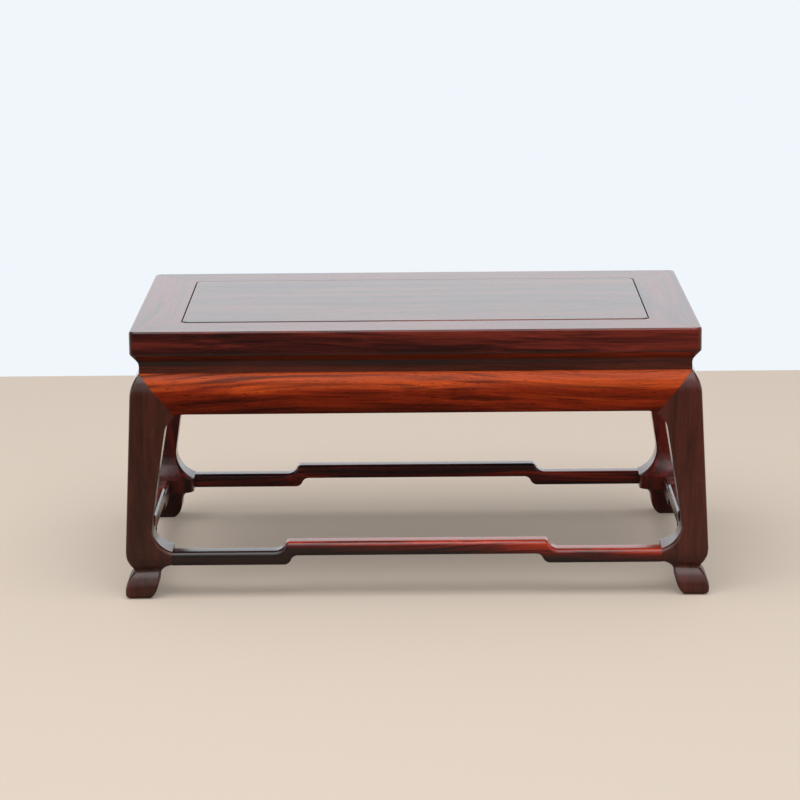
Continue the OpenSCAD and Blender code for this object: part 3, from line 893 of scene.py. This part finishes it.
def stretcher_mesh(length, hump):
    half, hump = length / 2 - SPUR_REACH, hump / 2
    top_radius = swell(HUMP_RISE, HUMP_RUN)[0]
    low_radius, low_turn = swell(HUMP_RISE / 2, HUMP_LOWER_RUN / 2)
    low_x = hump + HUMP_RUN - HUMP_SHIFT
    high_x = low_x - HUMP_LOWER_RUN
    # The hump's crest is rounded off into the curve that climbs to it
    crest_z, apart = STRETCHER_TOP + HUMP_RISE - HUMP_CREST, top_radius + HUMP_CREST
    lean = math.acos((STRETCHER_TOP + top_radius - crest_z) / apart)
    crest_x, turn = hump + HUMP_RUN - apart * math.sin(lean), math.degrees(lean)
    upper = [(0, STRETCHER_TOP + HUMP_RISE)] + arc(
        (crest_x, crest_z), HUMP_CREST, 90, 90 - turn
    ) + arc(
        (hump + HUMP_RUN, STRETCHER_TOP + top_radius), top_radius, 270 - turn, 270
    ) + [(half, STRETCHER_TOP)]
    lower = [(0, STRETCHER_BASE + HUMP_RISE)] + arc(
        (high_x, STRETCHER_BASE + HUMP_RISE - low_radius), low_radius, 90, 90 - low_turn
    ) + arc(
        (low_x, STRETCHER_BASE + low_radius), low_radius, 270 - low_turn, 270
    ) + [(half, STRETCHER_BASE)]
    upper, lower = ([(z, x) for x, z in chain] for chain in (upper, lower))
    right = stations(upper + lower, STATION_GAP)
    right[-1] = half
    levels = [-x for x in right[:0:-1]] + right
    return shaped_bar(
        "stretcher_rosewood", levels,
        a_low=-STRETCHER_REACH, a_high=STRETCHER_THICK - STRETCHER_REACH,
        b_low=[along_line(lower, abs(x)) for x in levels],
        b_high=[along_line(upper, abs(x)) for x in levels],
        arris_00=UNDER_FRONT, arris_10=UNDER_BACK,
        arris_01=OVER_FRONT, arris_11=OVER_BACK,
    )


def batten_mesh():
    half = TOP_DEPTH / 2 - RAIL_WIDTH
    return shaped_bar(
        "batten_rosewood", [-half, half], a_low=-BATTEN_WIDTH / 2, a_high=BATTEN_WIDTH / 2,
        b_low=TONGUE_BASE - BATTEN_DEPTH, b_high=TONGUE_BASE,
        arris_00=BATTEN_ARRIS, arris_10=BATTEN_ARRIS,
    )


# The tree draws a bar upright: this lays it along x, with its sections in (y, z)
LAID = Matrix(((0, 0, 1, 0), (1, 0, 0, 0), (0, 1, 0, 0), (0, 0, 0, 1)))
# How far each side is turned from the front, and how far it is to the opposite one
SIDES = {
    "front": (0, TOP_DEPTH), "right": (90, TOP_LENGTH),
    "back": (180, TOP_DEPTH), "left": (-90, TOP_LENGTH),
}


def at_side(side):
    """Turns a piece drawn along the front edge to any side."""
    angle, across = SIDES[side]
    turn = Matrix.Rotation(math.radians(angle), 4, "Z")
    return turn @ Matrix.Translation(Vector((0, -across / 2, 0)) * MM)


def side_run(side):
    """Length of a side and the way its grain runs."""
    return (TOP_LENGTH, "x") if side in ("front", "back") else (TOP_DEPTH, "y")


STRETCHER_CUTS = {
    "front": (916, 130, 12), "back": (1405, 47, 9),
    "left": (77, 90, 4), "right": (520, 66, 2),
}
STRETCHER_TONES = {
    "front": (-0.08, 0.28, 0.3), "back": (0.0, 0.0, 0.0),
    "left": (-0.02, 0.0, 0.0), "right": (-0.02, 0.0, 0.0),
}
for side in SIDES:
    length, grain = side_run(side)
    bar = soften(stretcher_mesh(length, LONG_HUMP if grain == "x" else END_HUMP))
    board(
        f"stretcher_{side}", bar, at_side(side) @ LAID, "stretcher_rosewood", grain,
        STRETCHER_CUTS[side], tone=STRETCHER_TONES[side],
    )
for side, turn in (("left", -1), ("right", 1)):
    across = Matrix.Rotation(math.radians(90), 4, "Z")
    shift = Matrix.Translation(Vector((turn * BATTEN_SPACING / 2, 0, 0)) * MM)
    board(
        f"panel_batten_{side}", soften(batten_mesh()), shift @ across @ LAID,
        "batten_rosewood", "y", (60 * turn, 20, 0),
    )
print("pieces so far:", len(PIECES))

# %% [markdown]
# Mitred runs.
# Rails, waist and aprons are mouldings: one section that runs along a side and
# is mitred at both ends. A second tree sweeps a section along a path. A section
# point at depth s ends that much earlier than the edge, which is all a mitre is.
# The outer corner of the top is rounded, so its points also turn a little before
# they meet; the aprons meet the legs on a steeper mitre. Points marked as lip
# follow the path's own numbers instead: the round corner of the panel opening on
# a rail, and the curve into the leg on an apron.

# %% Geometry Nodes tree: mitred run


def mitred_run_tree():
    sizes = ("Unit", "Half Length", "Corner Radius", "Mitre Slope")
    tree = new_tree("mitred_run", sizes, ("Section",))
    source = add_node(tree, "NodeGroupInput").outputs
    path = add_node(tree, "GeometryNodeMeshToCurve", source["Geometry"])
    drawn = add_node(tree, "GeometryNodeObjectInfo", source["Section"])
    section = add_node(tree, "GeometryNodeMeshToCurve", drawn.outputs["Geometry"])
    run = add_node(
        tree, "GeometryNodeCurveToMesh", Curve=path, Profile_Curve=section, Fill_Caps=True
    )
    field = named_fields(
        tree, "s", "z", "lip_s", "lip_z", "behind", "arris", "station", "share", "turn",
        "edge_x", "edge_s", "edge_z", "ring",
    )

    # How far a point on the rounded corner still is from the sharp one, both ways
    left = add_node(tree, MATH, source["Corner Radius"], field["s"], operation="SUBTRACT")
    radius = add_node(tree, MATH, left, 0.0, operation="MAXIMUM")
    away = []
    for wave in ("SINE", "COSINE"):
        share = add_node(
            tree, MATH, 1.0, add_node(tree, MATH, field["turn"], operation=wave),
            operation="SUBTRACT",
        )
        away.append(add_node(tree, MATH, radius, share, operation="MULTIPLY"))
    short, inward = away

    # Where the run ends at this point: the plain mitre, or the steeper one of an apron
    plain_end = add_node(tree, MATH, field["s"], short, operation="ADD")
    drop = add_node(tree, MATH, APRON_TOP, field["z"], operation="SUBTRACT")
    slant = add_node(
        tree, MATH, drop, source["Mitre Slope"], WAIST_INSET, operation="MULTIPLY_ADD"
    )
    sloped = add_node(tree, MATH, source["Mitre Slope"], 0.0, operation="GREATER_THAN")
    slant_end = add_node(tree, MATH, slant, sloped, operation="MULTIPLY")
    end = add_node(tree, MATH, plain_end, slant_end, operation="MAXIMUM")
    reach = add_node(tree, MATH, source["Half Length"], end, operation="SUBTRACT")
    along = add_node(tree, MATH, field["share"], reach, operation="MULTIPLY")

    on_lip = add_node(tree, MATH, field["lip_s"], field["lip_z"], operation="MAXIMUM")
    inside = add_node(tree, MATH, field["s"], inward, operation="ADD")
    on_edge = add_node(tree, MATH, field["edge_s"], field["behind"], operation="ADD")
    point = add_node(
        tree, "ShaderNodeCombineXYZ",
        add_node(tree, MIX, on_lip, None, along, field["edge_x"]),
        add_node(tree, MIX, field["lip_s"], None, inside, on_edge),
        add_node(tree, MIX, field["lip_z"], None, field["z"], field["edge_z"]),
    )
    close_tree(tree, source, run, point, field)
    return tree


MITRED_RUN = mitred_run_tree()


def mitred_run(length, slot, path, section, corner=0.0, slope=0.0):
    """Runs a section along one side. Each half of the path is mirrored."""
    lip = {"lip_s": 0.0, "lip_z": 0.0, "behind": 0.0, "arris": 0.0}
    flip = [dict(p, share=-p["share"], edge_x=-p["edge_x"]) for p in path[::-1]]
    points = [dict(lip, **point) for point in section]
    whole = [dict(p, station=float(i)) for i, p in enumerate(flip + path)]
    drawn, row = (
        points_in_a_row(name, {key: [p[key] for p in rows] for key in rows[0]}, closed)
        for name, rows, closed in (("section", points, True), ("run_path", whole, False))
    )
    mesh = run_tree(
        row, MITRED_RUN, Unit=MM, Half_Length=length / 2, Corner_Radius=corner,
        Mitre_Slope=slope, Section=drawn, Material=WOODS[slot],
    )
    bpy.data.objects.remove(drawn)
    # An apron keeps its stations, along which its lower edge is rounded evenly
    return clean(mesh, 0.0 if slope else FLAT_TURN)


print("mitred run tree:", len(MITRED_RUN.nodes), "nodes")

# %% [markdown]
# The top frame and the waist.
# Each rail has a soft upper arris, an upright edge, a small nose and a cove that
# runs into the waist. On the inside it is grooved for the panel's tongue, and its
# ends carry a quarter of the round corner of the opening. A hair's breadth is left
# open at each mitre, which draws the joint as a thin dark line.

# %% Four rails and four waist strips
LIP_ARRIS, MITRE_GAP, GROOVE_ROOM = 0.5, 0.07, 0.3
COVE_STEPS, ARRIS_STEPS, NOSE_STEPS = 8, 6, 5
CORNER_STEPS, SLAB_STEPS = 6, 4


def rail_section():
    """Down the outside of a rail, then up its inside round the groove."""
    cove = arc((WAIST_INSET - COVE_RADIUS, RAIL_BASE), COVE_RADIUS, 45, 0, COVE_STEPS)
    nose_in, nose_drop = NOSE_RADIUS * (1 - half_turn), NOSE_RADIUS * half_turn
    face_base = cove[0][1] + cove[0][0] - nose_in + nose_drop
    upper = arc((RAIL_ARRIS, RAIL_TOP - RAIL_ARRIS), RAIL_ARRIS, 90, 180, ARRIS_STEPS)
    nose = arc((NOSE_RADIUS, face_base), NOSE_RADIUS, 180, 225, NOSE_STEPS)
    outside = [dict(s=s, z=z) for s, z in upper + nose + cove]
    groove_top = TONGUE_BASE + TONGUE_THICK + GROOVE_ROOM
    depth = TONGUE_LENGTH + GROOVE_ROOM
    inside = [
        (RAIL_BASE, 0.0), (TONGUE_BASE, 0.0), (TONGUE_BASE, -depth),
        (groove_top, -depth), (groove_top, 0.0), (RAIL_TOP, 0.0),
    ]
    return outside + [
        dict(s=RAIL_WIDTH, z=z, lip_s=1.0, behind=behind,
             arris=LIP_ARRIS if z == RAIL_TOP else 0.0)
        for z, behind in inside
    ]


def rail_path(length):
    """Stations from the middle to the end: the opening's corner, then the slab's."""
    centre = RAIL_WIDTH + PANEL_CORNER
    path = []
    for i in range(CORNER_STEPS + 1):
        angle = math.radians(45) * i / CORNER_STEPS
        reach = centre - PANEL_CORNER * math.sin(angle)
        path.append(dict(
            share=(length / 2 - centre * (1 - i / CORNER_STEPS)) / (length / 2),
            turn=0.0, edge_x=length / 2 - reach,
            edge_s=centre - PANEL_CORNER * math.cos(angle), edge_z=0.0, ring=0.0,
        ))
    for i in range(1, SLAB_STEPS + 1):
        path.append(dict(path[CORNER_STEPS], turn=math.radians(45) * i / SLAB_STEPS))
    return path


def waist_path():
    end = dict.fromkeys(("turn", "edge_x", "edge_s", "edge_z"), 0.0)
    end.update(share=1.0, ring=JOINT_ARRIS)
    return [dict(end, share=0.5, ring=0.0), end]


WAIST_SECTION = [
    dict(s=WAIST_INSET, z=APRON_TOP), dict(s=WAIST_REAR, z=APRON_TOP),
    dict(s=WAIST_REAR, z=RAIL_BASE), dict(s=WAIST_INSET, z=RAIL_BASE),
]
RAIL_CUTS = {
    "front": (1449, 46, 39), "back": (260, 31, 0),
    "left": (540, 17, 5), "right": (800, 55, 3),
}
RAIL_TONE = (0.04, 0.07, 0.1)
for side in SIDES:
    length, grain = side_run(side)
    kind = "long_rail" if grain == "x" else "end_rail"
    rail = soften(mitred_run(
        length - 2 * MITRE_GAP, "frame_rosewood", rail_path(length), rail_section(),
        corner=SLAB_CORNER,
    ))
    board(
        f"{kind}_{side}", rail, at_side(side), "frame_rosewood", grain, RAIL_CUTS[side],
        tone=RAIL_TONE,
    )
    strip = soften(mitred_run(length, "waist_rosewood", waist_path(), WAIST_SECTION))
    board(f"waist_{side}", strip, at_side(side), "waist_rosewood", grain, RAIL_CUTS[side])
print("pieces so far:", len(PIECES), "last rail faces:", len(rail.polygons))

# %% [markdown]
# The aprons.
# An apron bows out under the waist with the same shoulder as the legs' hips. Its
# lower edge is straight and then curves down into the leg, and its ends are cut
# on the mitre that shows as a clear line between bright and dark wood.

# %% Four aprons
APRON_ARRIS = 0.8


def apron_section():
    face = [dict(s=s, z=z) for s, z in shoulder]
    lower = dict(z=APRON_BASE, lip_z=1.0, arris=APRON_ARRIS)
    return face + [
        dict(lower, s=leg_face(APRON_BASE)), dict(lower, s=WAIST_REAR),
        dict(s=WAIST_REAR, z=APRON_TOP),
    ]


def apron_path(length):
    reach = length / 2 - mitre_low[0]
    path = []
    for s, z in crown_apron[::-1]:
        edge_x = length / 2 - s
        path.append(dict(
            share=edge_x / reach, turn=0.0, edge_x=edge_x, edge_s=0.0, edge_z=z, ring=0.0
        ))
    return path


APRON_CUTS = {
    "front": (46, 191, 22), "back": (420, 44, 0),
    "left": (700, 21, 8), "right": (990, 70, 1),
}
# The aprons grow lighter towards the top: painted light on the shoulder and painted shade
# on the lower face
APRON_TONE_AND_SHADE = (0.02, 0.0, 0.22)
for side in SIDES:
    length, grain = side_run(side)
    apron = soften(mitred_run(
        length, "apron_rosewood", apron_path(length), apron_section(), slope=mitre_slope
    ))
    board(
        f"apron_{side}", apron, at_side(side), "apron_rosewood", grain, APRON_CUTS[side],
        tone=APRON_TONE_AND_SHADE,
    )
print("pieces so far:", len(PIECES), "last apron faces:", len(apron.polygons))

# %% [markdown]
# The panel.
# The panel floats in the frame's groove, so a thin dark gap shows all round it,
# with round corners. It is a plate on a wider, thinner tongue: two rounded
# rectangles, each at two heights, skinned to each other.

# %% Panel
PANEL_ARRIS, PANEL_STEPS, PANEL_CUT = 0.6, 8, (150, 20, 30)


def rounded_rectangle(half_x, half_y, radius):
    loop = []
    for x, y, start in ((1, 1, 0), (-1, 1, 90), (-1, -1, 180), (1, -1, 270)):
        centre = (x * (half_x - radius), y * (half_y - radius))
        loop += arc(centre, radius, start, start + 90, PANEL_STEPS)
    return loop


def panel_mesh():
    half = TOP_LENGTH / 2 - RAIL_WIDTH, TOP_DEPTH / 2 - RAIL_WIDTH
    plate = [h - PANEL_GAP for h in half] + [PANEL_CORNER - PANEL_GAP]
    tongue = [h + TONGUE_LENGTH for h in half] + [PANEL_CORNER + TONGUE_LENGTH]
    tongue_top = TONGUE_BASE + TONGUE_THICK
    levels = (
        (tongue, TONGUE_BASE), (tongue, tongue_top), (plate, tongue_top),
        (plate, STAND_HEIGHT),
    )
    work = bmesh.new()
    weight = work.edges.layers.float.new("bevel_weight_edge")
    loops = skin(work, [
        [Vector((x, y, z)) for x, y in rounded_rectangle(*size)] for size, z in levels
    ])
    work.faces.new(loops[0][::-1])
    top = work.faces.new(loops[-1])
    for edge in top.edges:
        edge[weight] = PANEL_ARRIS / BEVEL_WIDTH
    bmesh.ops.recalc_face_normals(work, faces=work.faces)
    return new_mesh("panel", work)


board(
    "top_panel", soften(panel_mesh()), Matrix.Identity(4), "panel_rosewood", "x", PANEL_CUT
)
print("all pieces:", len(PIECES), "of", len(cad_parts), "nodes")

# %% [markdown]
# Floor and light.
# The stand is on a plain pale floor under one wide soft lamp, in even light from all
# round. What a waxed surface mirrors matters as much as its colour. Behind the stand
# the surroundings are pale, so the top turns pale at this low angle; in front they
# are dim, so upright faces stay deep. Between the pale background and the lamp lies
# a dimmer gap, which draws the thin dark line along every rounded edge.

# %% Floor
FLOOR_SIDE, FLOOR_FRONT, FLOOR_BACK = 3.0, -0.36, 0.385
FLOOR_DULL, FLOOR_PALE, FLOOR_GLOW = "#8d8378", "#e3d2c1", 0.19
FLOOR_ROUGHNESS, FLOOR_SPECULAR = 0.9, 0.1
BEHIND_STAND = dict(From_Min=0.05, From_Max=0.12)


def floor_paint():
    """Pale to the camera and, behind the stand, in the wax; duller as a light."""
    material = bpy.data.materials.new("pale_floor_paint")
    tree = empty_tree(material)
    ray = add_node(tree, "ShaderNodeLightPath").outputs
    place = add_node(tree, "ShaderNodeTexCoord").outputs["Object"]
    depth = add_node(tree, "ShaderNodeSeparateXYZ", place).outputs[1]
    behind = add_node(tree, RANGE, depth, **BEHIND_STAND)
    mirrored = add_node(tree, MATH, ray["Is Glossy Ray"], behind, operation="MULTIPLY")
    seen = add_node(tree, MATH, ray["Is Camera Ray"], mirrored, operation="MAXIMUM")
    colour = add_node(
        tree, MIX, seen, *TO_COLOURS, linear(FLOOR_DULL), linear(FLOOR_PALE),
        data_type="RGBA",
    ).outputs[2]
    glow = add_node(tree, MATH, seen, FLOOR_GLOW, operation="MULTIPLY")
    shader = add_node(
        tree, "ShaderNodeBsdfPrincipled", colour, Roughness=FLOOR_ROUGHNESS,
        Specular_IOR_Level=FLOOR_SPECULAR, Emission_Color=linear(FLOOR_PALE),
        Emission_Strength=glow,
    )
    add_node(tree, "ShaderNodeOutputMaterial", shader)
    return material


floor_mesh = bpy.data.meshes.new("floor")
floor_mesh.from_pydata([
    (-FLOOR_SIDE, FLOOR_FRONT, 0), (FLOOR_SIDE, FLOOR_FRONT, 0),
    (FLOOR_SIDE, FLOOR_BACK, 0), (-FLOOR_SIDE, FLOOR_BACK, 0),
], [], [(0, 1, 2, 3)])
floor_mesh.materials.append(floor_paint())
floor = new_object("floor", floor_mesh)
print("floor from", FLOOR_FRONT, "to", FLOOR_BACK)

# %% Lamp and surroundings
LAMP_PLACE, LAMP_TARGET = Vector((-0.1, -0.38, 1.1)), Vector((0, 0, 0.05))
LAMP_WIDTH, LAMP_HEIGHT, LAMP_WATTS = 1.3, 1.1, 7.0
SKY, AMBIENT, DIM, FRONT_GLOW = "#f0f6fb", 0.5, 0.04, 0.6
# Parts of the surroundings: the axis looked along, where each begins and is full
Y_AXIS, Z_AXIS = 1, 2
OUTLOOK = {
    "behind": (Y_AXIS, -0.5, 0.1), "low": (Z_AXIS, 0.42, 0.3),
    "front": (Y_AXIS, 0.1, -0.3), "high": (Z_AXIS, 0.1, 0.4),
}

light = bpy.data.lights.new("overhead", "AREA")
light.shape, light.energy = "RECTANGLE", LAMP_WATTS
light.size, light.size_y = LAMP_WIDTH, LAMP_HEIGHT
lamp = new_object("overhead", light)
lamp.location = LAMP_PLACE
lamp.rotation_euler = (LAMP_TARGET - LAMP_PLACE).to_track_quat("-Z", "Y").to_euler()


def studio_world():
    """Pale to the camera; even light on the stand; in the wax a pale band behind."""
    world = bpy.data.worlds.new("studio")
    tree = empty_tree(world)
    way = add_node(tree, "ShaderNodeTexCoord").outputs["Generated"]
    ray = add_node(tree, "ShaderNodeSeparateXYZ", way).outputs
    part = {
        label: add_node(
            tree, RANGE, ray[axis], From_Min=start, From_Max=full,
            interpolation_type="SMOOTHSTEP",
        )
        for label, (axis, start, full) in OUTLOOK.items()
    }
    band = add_node(tree, MATH, part["behind"], part["low"], operation="MULTIPLY")
    glow = add_node(tree, MATH, part["front"], part["high"], operation="MULTIPLY")
    dim = add_node(tree, MIX, glow, None, DIM, FRONT_GLOW)
    mirrored = add_node(tree, MIX, band, None, dim, 1.0)
    seen_by = add_node(tree, "ShaderNodeLightPath").outputs
    around = add_node(tree, MIX, seen_by["Is Glossy Ray"], None, AMBIENT, mirrored)
    strength = add_node(tree, MIX, seen_by["Is Camera Ray"], None, around, 1.0)
    sky = add_node(tree, "ShaderNodeBackground", linear(SKY), strength)
    add_node(tree, "ShaderNodeOutputWorld", sky)
    return world


bpy.context.scene.world = studio_world()
bpy.context.scene.view_settings.view_transform = "Standard"
